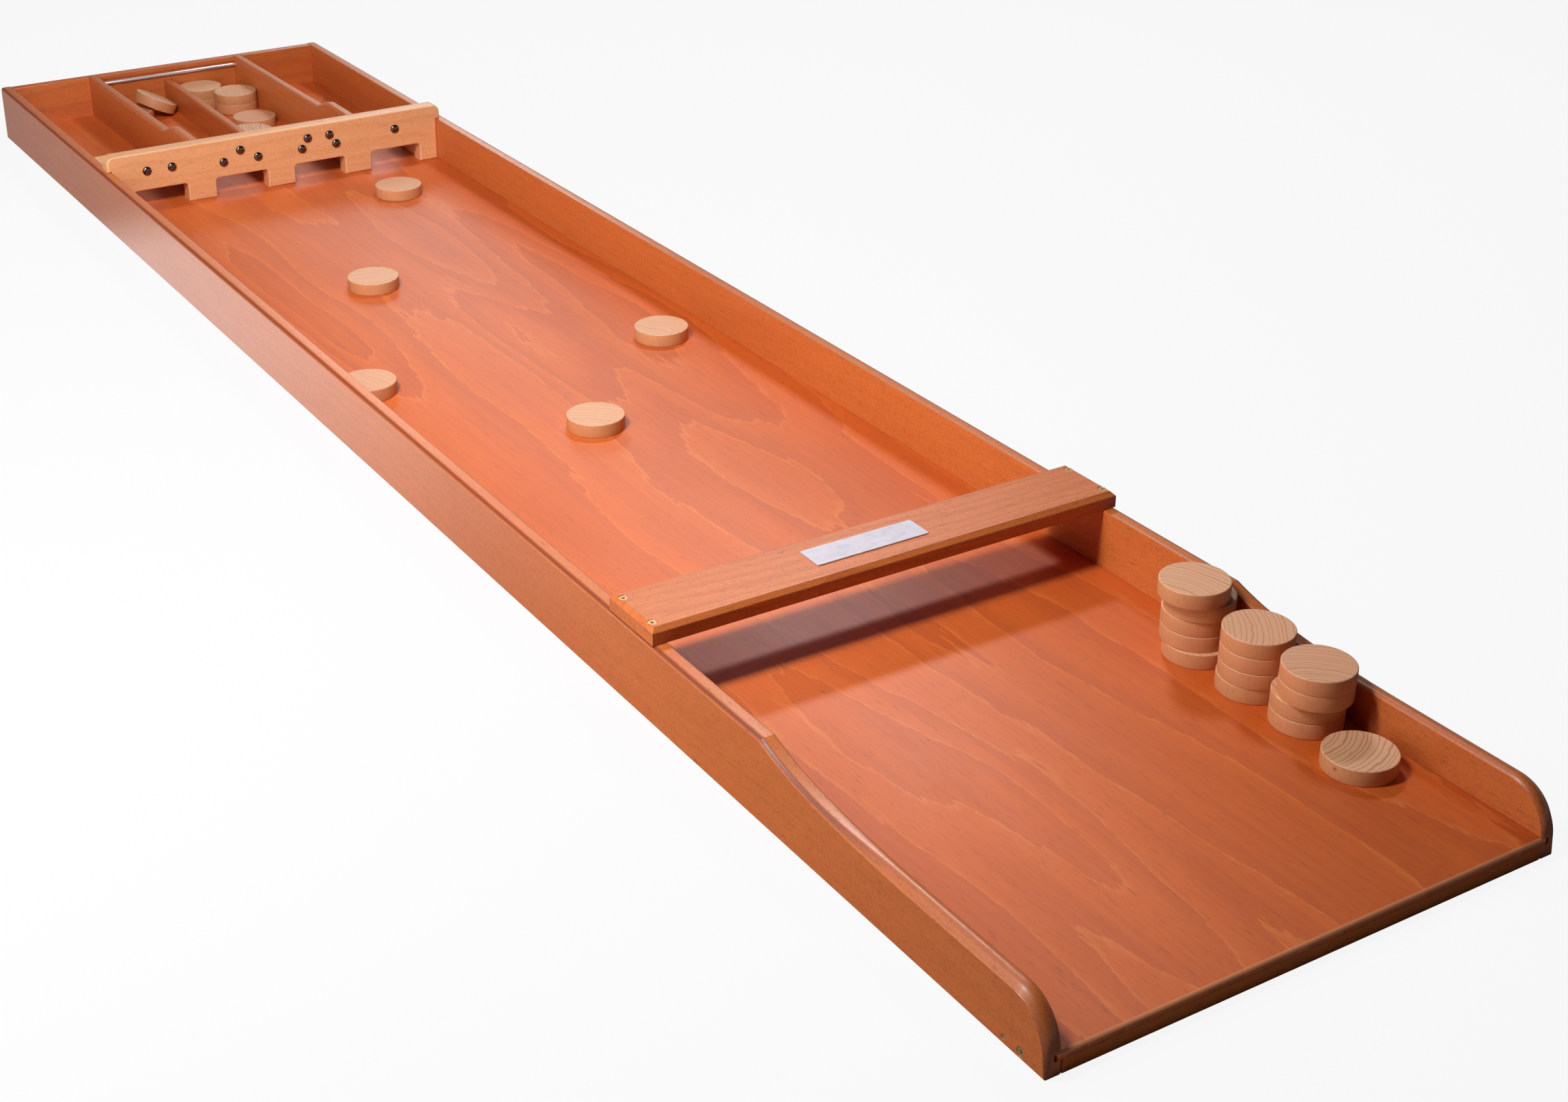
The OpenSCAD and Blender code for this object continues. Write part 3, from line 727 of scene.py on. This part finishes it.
# Holes in the outer faces round the fasteners: radius and height above the face, in millimetres
nailHole = [(2.1, 1.2), (2.1, -0.5)]
wallHoles = {
    "batten_screws": [(3.5, 1.2), (3.5, -0.2), (3.2, -0.6), (1.4, -2.4)],
    "batten_nails": nailHole,
    "gate_nails": nailHole,
}


def wallOutline(front, rear, top):
    # (y, z) of a side wall: quarter circle at the player's end, level, a power curve up, level
    w = wallShape
    nose = arc((front + w["noseRadius"], w["lowHeight"] - w["noseRadius"]),
               w["noseRadius"], 180, 90, 19)
    share = np.linspace(0, 1, 33)
    ramp = front + w["rampStart"] + share * (w["rampEnd"] - w["rampStart"])
    rise = w["lowHeight"] + (top - w["lowHeight"]) * share ** w["rampPower"]
    level = front + w["noseRadius"] + w["settles"][0]
    high = front + w["rampEnd"] + w["settles"][1]
    return np.concatenate([
        [[front, 0]], nose, [[level, w["lowHeight"]]], np.stack([ramp, rise], axis=1),
        [[high, top], [rear, top], [rear, 0]]])[::-1]


def easing(outline, front, edge, rimShare):
    # Radius and darkness of the eased edge at each point. Both pass from the low stretch's value to
    # the high one's by 3 s^2 - 2 s^3, and the radius shrinks towards the foot
    w = wallShape
    along = outline[:, 0] - front
    s = np.clip((w["lowEdgeEnd"] - along) / (w["lowEdgeEnd"] - w["rampStart"]), 0, 1)
    low = s * s * (3 - 2 * s)
    lift = np.clip(outline[:, 1] / w["footRise"], 0, 1)
    radius = edge[1] + (edge[0] - edge[1]) * low
    radius = w["footEdge"] + (radius - w["footEdge"]) * lift
    return radius, rimShare[1] + (rimShare[0] - rimShare[1]) * low


def sideWall(node, side):
    # Side is -1 for the left wall and 1 for the right one
    w = wallShape
    lo, hi = corners(node)
    outline = wallOutline(lo[1], hi[1], hi[2])
    outer = easing(outline, lo[1], w["outerEdge"], w["outerRim"])
    inner = easing(outline, lo[1], w["innerEdge"], w["innerRim"])
    low, high = (outer, inner) if side < 0 else (inner, outer)
    # Painted shade on the nose: darkest at its front end, gone where the nose's arc ends
    noseShade = w["noseShade"] * np.clip(1 - (outline[:, 0] - lo[1]) / w["noseRadius"], 0, 1)
    piece = board(node + "Board", outline, lo[0], hi[0], acrossX, low[0], high[0],
                  start=w["edgeStart"], rimLow=low[1], rimHigh=high[1], endShade=noseShade)
    outerX, innerX = (lo[0], hi[0]) if side < 0 else (hi[0], lo[0])
    foot, top, depth = w["groove"]
    grooveEnd = corners("rear_wall")[0][1] + depth
    cutters = [prism("grooveCutter", rectangle(lo[1] - past, foot, grooveEnd, top),
                     *sorted((innerX + side * depth, innerX - side * past)), acrossX)]
    for name, profile in wallHoles.items():
        centre = (outerX, *middle(name)[1:])
        cutters.append(bore(name + "Cutter", centre, (side, 0, 0), profile))
    cutAway(piece, *cutters)
    finished(piece, wallWood, node, angle=w["sharpAngle"])


# Floor and battens
floorShape = {
    "noseRadius": 2.5 * mm,       # of the front edge's upper corner
    "sharpEdge": 0.3 * mm,        # bevel of its lower corner
    "sideEdge": 0.2 * mm,
}
battenShape = {
    "frontEdge": (0.4 * mm, 3),   # radius of the eased edges and the steps of their arc
    "underEdge": (0.5 * mm, 2),
}


def makeFloorPanel():
    f = floorShape
    lo, hi = corners("floor_panel")
    nose = f["noseRadius"]
    outline = np.concatenate([
        [[lo[1] + f["sharpEdge"], lo[2]], [hi[1], lo[2]], [hi[1], hi[2]]],
        arc((lo[1] + nose, hi[2] - nose), nose, 90, 180, 9), [[lo[1], lo[2] + f["sharpEdge"]]]])
    piece = board("floorSheet", outline, lo[0], hi[0], acrossX, f["sideEdge"], f["sideEdge"], 2)
    finished(piece, veneerFace, "floor_panel")


def makeBatten(node, name, material, edge, steps):
    lo, hi = corners(node)
    outline = rectangle(lo[1], lo[2], hi[1], hi[2])
    piece = board(name, outline, lo[0], hi[0], acrossX, edge, edge, steps)
    finished(piece, material, node)


# Rear wall
rearShape = {
    "outerEdge": 2.4 * mm,
    "innerEdge": 1.2 * mm,
    "endEdge": 0.15 * mm,
    "housingDepth": 4.6 * mm,
    "housingRoom": 0.12 * mm,
    "grooveHeight": 7.5 * mm,     # level with the rod
    "grooveDepth": 2 * mm,
}
dividers = ("divider_left", "divider_middle", "divider_right")


def makeRearWall():
    r = rearShape
    lo, hi = corners("rear_wall")
    outline = np.concatenate([
        [[lo[1], lo[2]], [hi[1], lo[2]]],
        arc((hi[1] - r["outerEdge"], hi[2] - r["outerEdge"]), r["outerEdge"], 0, 90, 7),
        arc((lo[1] + r["innerEdge"], hi[2] - r["innerEdge"]), r["innerEdge"], 90, 180, 5)])
    piece = board("rearBoard", outline, lo[0], hi[0], acrossX, r["endEdge"], r["endEdge"], 2)
    mouth, room = lo[1] - past, r["housingRoom"]
    cutters = []
    for name in dividers:
        a, b = corners(name)
        top = b[2] + room if name == "divider_middle" else hi[2] + past
        housing = rectangle(mouth, a[2] - room, lo[1] + r["housingDepth"], top)
        cutters.append(prism("housingCutter", housing, a[0] - room, b[0] + room, acrossX))
    # The groove's lower lip slopes at 45 degrees, and its ends are hidden in the housings
    level, deep = middle("rear_rod")[2], lo[1] + r["grooveDepth"]
    foot, top = level - r["grooveHeight"] / 2, level + r["grooveHeight"] / 2
    groove = np.array([
        [mouth, foot - past], [deep, foot + r["grooveDepth"]], [deep, top], [mouth, top]])
    left, right = middle("divider_left")[0], middle("divider_right")[0]
    cutters.append(prism("lipCutter", groove, left, right, acrossX))
    cutAway(piece, *cutters)
    finished(piece, crossWood, "rear_wall")


sideWall("left_wall", -1)
sideWall("right_wall", 1)
makeFloorPanel()
makeBatten("front_batten", "frontBatten", frontWood, *battenShape["frontEdge"])
for node in ("rear_batten", "cross_batten_1", "cross_batten_2", "cross_batten_3"):
    makeBatten(node, node + "Strip", battenWood, *battenShape["underEdge"])
makeRearWall()
print("tray made")


# Gate board
gateShape = {
    "edge": 1.6 * mm,
    "gateWidth": 60.5 * mm,
    "gateHeight": 21 * mm,
    "gateCorner": 4 * mm,
    "gateMiddles": np.array([-138.75, -46.25, 46.25, 138.75]) * mm,
    "earCorner": 8 * mm,
}


def gateOutline(lo, hi):
    # Board seen from the player, anticlockwise from the lower left: feet and gates from left to
    # right, then the two ears over the walls and the long top edge
    s = gateShape
    half, c, e = s["gateWidth"] / 2, s["gateCorner"], s["earCorner"]
    floorZ, headZ = lo[2], lo[2] + s["gateHeight"]
    inner, wallTop = corners("right_wall")[0][0], corners("right_wall")[1][2]
    parts = [[[-inner, floorZ]]]
    for x in s["gateMiddles"]:
        parts += [[[x - half, floorZ]],
                  arc((x - half + c, headZ - c), c, 180, 90, 9),
                  arc((x + half - c, headZ - c), c, 90, 0, 9),
                  [[x + half, floorZ]]]
    parts += [[[inner, floorZ], [inner, wallTop], [hi[0], wallTop]],
              arc((hi[0] - e, hi[2] - e), e, 0, 90, 13),
              arc((lo[0] + e, hi[2] - e), e, 90, 180, 13),
              [[lo[0], wallTop], [-inner, wallTop]]]
    return np.concatenate(parts)


def makeGateBoard():
    lo, hi = corners("gate_board")
    edge = gateShape["edge"]
    piece = board("gateBoard", gateOutline(lo, hi), -hi[1], -lo[1], acrossY, edge, edge)
    finished(piece, gateWood, "gate_board")


studShape = {
    "radius": 5 * mm,
    "height": 3 * mm,
    "flange": 0.5 * mm,
    "sunk": 0.6 * mm,
    # Distance from the gate's middle and from the board's top, in millimetres, gate by gate
    "rows": [[(-14, 20.5), (14, 20.5)],
             [(-20, 25.2), (0, 14.5), (20, 25.2)],
             [(-20.5, 25.3), (-13, 14), (13, 14), (20.5, 25.3)],
             [(0, 20)]],
}


def makeStuds():
    # Each head is a low dome, a quarter of an ellipse turned round, on a thin flange; all heads
    # are one piece, as their node is
    s = studShape
    lo, hi = corners("gate_board")
    a = np.linspace(0, math.pi / 2, 9)[:-1]
    dome = s["flange"] + (s["height"] - s["flange"]) * np.sin(a)
    radius = np.concatenate([[0, s["radius"] * 0.8, s["radius"]], s["radius"] * np.cos(a), [0]])
    depth = np.concatenate([[-s["sunk"], -s["sunk"], 0], dome, [s["height"]]])
    heads = []
    for x, row in zip(gateShape["gateMiddles"], s["rows"]):
        for aside, drop in row:
            centre = (x + aside * mm, lo[1], hi[2] - drop * mm)
            heads.append(turned("studHead", radius, depth, centre, (0, -1, 0)))
    with bpy.context.temp_override(active_object=heads[0], selected_editable_objects=heads,
                                   object=heads[0], selected_objects=heads):
        bpy.ops.object.join()
    heads[0].name = "scoreStuds"
    finished(heads[0], darkBronze, "score_studs", angle=50)


# Compartments
dividerShape = {
    "edge": 2.6 * mm,
    "gluedEdge": 0.3 * mm,        # on the foot and in the housing
    "edgeRunOut": 6 * mm,         # in which the low divider's edge runs out into its housing
    "levelLength": 52 * mm,       # at the gate board's height
    "stepLength": 44 * mm,
    "rise": 4 * mm,               # by which the step ends above the walls
    "rimShare": 0.3,
}
blockShape = {"corner": 0.8 * mm, "edge": 0.8 * mm}
rodShape = {"softness": 0.5 * mm}


def dividerOutline(lo, hi, tall):
    # (y, z) anticlockwise: foot, back, top edge from the rear forward, front. The step is half a
    # wave of the cosine
    d = dividerShape
    foot = [[lo[1], lo[2]], [hi[1], lo[2]]]
    if not tall:
        run = d["edgeRunOut"]
        return np.array(foot + [[y, hi[2]] for y in (hi[1], hi[1] - run, hi[1] - 2 * run, lo[1])])
    share = np.linspace(1, 0, 21)
    rearFace, wallTop = corners("rear_wall")[0][1], corners("rear_wall")[1][2]
    stepFoot = wallTop + d["rise"]
    height = stepFoot + (hi[2] - stepFoot) * (1 + np.cos(math.pi * share)) / 2
    step = np.stack([lo[1] + d["levelLength"] + share * d["stepLength"], height], axis=1)
    return np.concatenate([foot, [[hi[1], wallTop], [rearFace, wallTop]], step, [[lo[1], hi[2]]]])


def makeDivider(node):
    d = dividerShape
    lo, hi = corners(node)
    outline = dividerOutline(lo, hi, node != "divider_middle")
    onFoot, inHousing = outline[:, 1] < lo[2] + mm, outline[:, 0] > hi[1] - mm
    edge = np.where(onFoot | inHousing, d["gluedEdge"], d["edge"])
    piece = board(node + "Board", outline, lo[0], hi[0], acrossX, edge, edge,
                  rimLow=d["rimShare"], rimHigh=d["rimShare"])
    finished(piece, wallWood, node)


def makeRod():
    # Drawn wire with its ends slightly rounded
    lo, hi = corners("rear_rod")
    soft = rodShape["softness"]
    inset = np.array([soft, 0.3 * soft, 0])
    radius = (hi[2] - lo[2]) / 2 - np.concatenate([inset, inset[::-1]])
    depth = np.concatenate([inset[::-1], hi[0] - lo[0] - inset])
    piece = turned("rearRod", [0, *radius, 0], [0, *depth, depth[-1]],
                   (lo[0], *middle("rear_rod")[1:]), (1, 0, 0))
    finished(piece, drawnSteel, "rear_rod")


makeGateBoard()
makeStuds()
for node in dividers:
    makeDivider(node)
for node in ("corner_block_left", "corner_block_right"):
    makeSlab(node, node + "Piece", blockShape, blockWood)
makeRod()
print("gate board and compartments made")


# Crossbar
crossbarShape = {
    "chamfer": 3.5 * mm,          # flat bevel round the upper face
    "softness": 0.45 * mm,
    "screwInset": 3.2 * mm,       # from the screws' box to their middles
    "screwHole": [(4.0, 1.5), (4.0, 0.1), (3.4, -0.5), (1.5, -2.6)],
}
plateShape = {"corner": 1.5 * mm, "edge": 0.2 * mm}


def makeCrossbar():
    s = crossbarShape
    lo, hi = corners("crossbar")
    c = s["chamfer"]
    outline = rectangle(lo[0], lo[1], hi[0], hi[1])
    profile, roundedEdge = softened([[c, lo[2]], [0, lo[2]], [0, hi[2] - c], [c, hi[2]], [2 * c, hi[2]]],
                             s["softness"])
    insets, depths = (np.repeat(part[:, None], len(outline), axis=1) for part in profile.T)
    piece = stack("crossbarPlank", outline, insets, depths, acrossZ, roundedEdge[:, None])
    near, far = corners("crossbar_screws")
    near, far = near + s["screwInset"], far - s["screwInset"]
    holes = [bore("holeCutter", (x, y, hi[2]), (0, 0, 1), s["screwHole"])
             for x in (near[0], far[0]) for y in (near[1], far[1])]
    cutAway(piece, *holes)
    finished(piece, crossWood, "crossbar")


def colourFasteners():
    # The exact solids of the screws and nails are shown as they are
    for node in ("crossbar_screws", "batten_screws", "batten_nails", "gate_nails"):
        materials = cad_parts[node].data.materials
        materials.clear()
        materials.append(screwSteel)


makeCrossbar()
makeSlab("name_plate", "barePlate", plateShape, sheetMetal)
colourFasteners()
print("crossbar made")


# Discs
discShape = {
    "radius": 25.5 * mm,
    "thickness": 12 * mm,
    "edge": 0.8 * mm,
    "points": 96,
    "faceFade": (0.6 * mm, 0.1 * mm),   # depth below a face at which end grain starts and is full
    "pith": (45 * mm, 130 * mm),        # nearest and farthest pith from a disc's middle
    "tone": (0, 0.5),
    "seed": 12,
}


def discPlace(node):
    # Middle of a disc's box, and its axis, the direction in which it is thinnest
    points = np.unique(meshPoints(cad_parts[node].data).round(6), axis=0).astype(float)
    axis = np.linalg.svd(points - points.mean(axis=0), full_matrices=False)[2][2]
    return middle(node), axis * np.sign(axis[2])


def makeDisc(node, random):
    s = discShape
    centre, axis = discPlace(node)
    half = s["thickness"] / 2
    u = np.cross((0, 1, 0), axis)
    u /= np.linalg.norm(u)
    v = np.cross(axis, u)
    angle = np.linspace(0, 2 * math.pi, s["points"], endpoint=False)
    outline = np.stack([np.cos(angle), np.sin(angle)], axis=1) * s["radius"]

    def place(a, b, w):
        return centre + a[:, None] * u + b[:, None] * v + w[:, None] * axis

    piece = board(node + "_puck", outline, -half, half, place, s["edge"], s["edge"], 4)
    local = meshPoints(piece.data) - centre
    a, b, w = local @ u, local @ v, local @ axis
    pith = random.uniform(*s["pith"])
    turn = random.uniform(0, 2 * math.pi)
    height = random.uniform(0, 1)
    tone = random.uniform(*s["tone"])
    start, full = (half - depth for depth in s["faceFade"])
    addValues(piece.data, {
        "wood": np.stack([a * math.cos(turn) - b * math.sin(turn) + pith,
                          a * math.sin(turn) + b * math.cos(turn), w + height], axis=1),
        "flat": np.clip((np.abs(w) - start) / (full - start), 0, 1),
        "tone": np.full(len(local), tone)})
    finished(piece, discFace, node, body=node)


randomWood = np.random.default_rng(discShape["seed"])
discNodes = sorted(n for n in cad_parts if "disc" in n)
for node in discNodes:
    makeDisc(node, randomWood)
print(len(discNodes), "discs made")


# Studio
studio = {
    "floorTone": 0.55,
    "floorGrain": 0.02,
    "floorGlow": 0.9,         # share of the pale floor that is its own white to the camera
    "floorHalf": 20.0,
    "floorDrop": 0.2 * mm,    # below the tray
    "floorEnds": (1.8, 4.0),  # distance from the tray's middle between which it turns into white
    "fill": 0.02,
    "fillColour": (1, 0.97, 0.95, 1),
    "horizon": (0.02, 0.3),   # height at which mirrored air starts and stops darkening
    "mirroredSky": 0.03,
    "mirroredGlow": (0.02, 1.0, 0.3),   # how white glossy things see the floor, near, middle and far: a painted glow that stands in for a lit patch
    "glowGrows": (-0.62, 0.38),         # y between which near turns into middle
    "glowFades": (0.5, 0.7),            # y between which middle turns into far
    # Place, point aimed at, size, power and colour of each lamp
    "lamps": {
        "keyLight": ((-0.65, -0.56, 1.15), (0.0, 0.9, 0), (0.3, 0.3), 23, (1, 1, 1)),
        "backLight": ((1.0, 0.95, 1.8), (0.0, -0.5, 0), (0.36, 0.22), 16, (1, 1, 1)),
        "lowBackLight": ((0.9, 2.3, 1.0), (0.0, 0.2, 0), (0.9, 0.5), 6, (1, 1, 1)),
        "leftLight": ((-1.3, -0.48, 0.32), (0.0, -0.32, 0.04), (1.8, 0.24), 14, (1, 0.97, 0.93)),
        "farLeftLight": ((-1.2, 0.85, 0.035), (-0.2, 0.75, 0.035), (0.8, 0.04), 5.5, (1, 0.93, 0.9)),
    },
}
white = (1, 1, 1, 1)


def rays(g):
    # 1 for a ray from the camera, and 1 for one that was mirrored or let through
    path = g.node("ShaderNodeLightPath")
    mirrored = path.output("Is Glossy Ray").math("MAXIMUM", path.output("Is Transmission Ray"))
    return path.output("Is Camera Ray"), mirrored


def makeWorld():
    # White to the camera, and darker towards the zenith in mirrored rays
    world = bpy.data.worlds.new("studioAir")
    scene.world = world
    world.use_nodes = True
    g = Graph(world.node_tree)
    camera, mirrored = rays(g)
    up = g.parts(g.node("ShaderNodeTexCoord", output="Generated"))[2]
    backdrop = 1 - g.ramp(up, *studio["horizon"]) * (1 - studio["mirroredSky"])
    seen = camera.math("MAXIMUM", mirrored * backdrop)
    fill = g.node("ShaderNodeBackground", None,
                  {"Color": studio["fillColour"], "Strength": studio["fill"]})
    pale = g.node("ShaderNodeBackground", None, {"Color": white, "Strength": 1.0})
    air = g.node("ShaderNodeMixShader", None, {0: seen, 1: fill, 2: pale})
    g.node("ShaderNodeOutputWorld", None, {"Surface": air})


def makeFloor():
    # Pale floor that fades into the white air far from the tray and keeps the tray's shadow
    material, g = newMaterial("studioFloor")
    point = g.point()
    camera, mirrored = rays(g)
    far = g.node("ShaderNodeVectorMath", {"operation": "LENGTH"}, {0: point}, output="Value")
    tone = studio["floorTone"] + g.noise(point, (40, 40, 40), 3).swing(studio["floorGrain"])
    matt = g.node("ShaderNodeBsdfDiffuse", None, {"Color": g.join(tone, tone, tone)})
    # Painted light: in mirrored rays the floor glows in a band along y, brightest in the middle,
    # standing in for a lit patch that the walls reflect
    near, central, farther = studio["mirroredGlow"]
    along = g.parts(point)[1]
    glowing = near + g.ramp(along, *studio["glowGrows"]) * (central - near)
    glowing = glowing - g.ramp(along, *studio["glowFades"]) * (central - farther)
    faded = studio["floorGlow"] + g.ramp(far, *studio["floorEnds"]) * (1 - studio["floorGlow"])
    share = (camera * faded).math("MAXIMUM", mirrored)
    strength = camera.math("MAXIMUM", mirrored * glowing)
    glow = g.node("ShaderNodeEmission", None, {"Color": white, "Strength": strength})
    mixed = g.node("ShaderNodeMixShader", None, {0: share, 1: matt, 2: glow})
    g.node("ShaderNodeOutputMaterial", None, {"Surface": mixed})
    half = studio["floorHalf"]
    square = rectangle(-half, -half, half, half)
    points = np.column_stack([square, np.full(4, -studio["floorDrop"])])
    floor = finishMesh("studioGround", points, [[0, 1, 2, 3]])
    floor.data.materials.append(material)


def setPlace(holder, x, y, z, place):
    # Links the object with its own axes along x, y and z
    matrix = np.eye(4)
    matrix[:3] = np.stack([x, y, z, place], axis=1)
    scene.collection.objects.link(holder)
    holder.matrix_world = Matrix(matrix.tolist())


def areaLight(name, place, target, size, power, colour):
    lamp = bpy.data.lights.new(name, "AREA")
    lamp.shape = "RECTANGLE"
    lamp.size, lamp.size_y = size
    lamp.energy = power
    lamp.color = colour
    z = np.array(place) - np.array(target)
    z /= np.linalg.norm(z)
    x = np.cross((0, 1, 0), z)
    x /= np.linalg.norm(x)
    setPlace(bpy.data.objects.new(name, lamp), x, np.cross(z, x), z, place)


cameraView = {
    "place": (-0.8554, -1.7336, 0.8309),
    "azimuth": 31.583,         # from +y towards +x, degrees
    "drop": 25.994,
    "roll": 0.024,
    "focus": 3327.875,         # focal length and optical axis in the image's pixels
    "axis": (1064.888, 711.865),
    "image": (2296, 1614),
    "sensor": 36,
    "clip": (0.05, 100),
}


def makeCamera():
    c = cameraView
    az, el, ro = np.radians([c["azimuth"], c["drop"], c["roll"]])
    ahead = np.array([math.sin(az) * math.cos(el), math.cos(az) * math.cos(el), -math.sin(el)])
    right = np.array([math.cos(az), -math.sin(az), 0])
    up = np.cross(right, ahead)
    lens = bpy.data.cameras.new("photographView")
    wide, tall = c["image"]
    lens.sensor_width = c["sensor"]
    lens.lens = c["focus"] / wide * c["sensor"]
    lens.shift_x = (wide / 2 - c["axis"][0]) / wide
    lens.shift_y = (c["axis"][1] - tall / 2) / wide
    lens.clip_start, lens.clip_end = c["clip"]
    holder = bpy.data.objects.new("photographView", lens)
    setPlace(holder, right * math.cos(ro) + up * math.sin(ro),
             up * math.cos(ro) - right * math.sin(ro), -ahead, c["place"])
    scene.camera = holder


makeWorld()
makeFloor()
for lampName, lamp in studio["lamps"].items():
    areaLight(lampName, *lamp)
makeCamera()
scene.view_settings.view_transform = "Standard"
print("studio made")
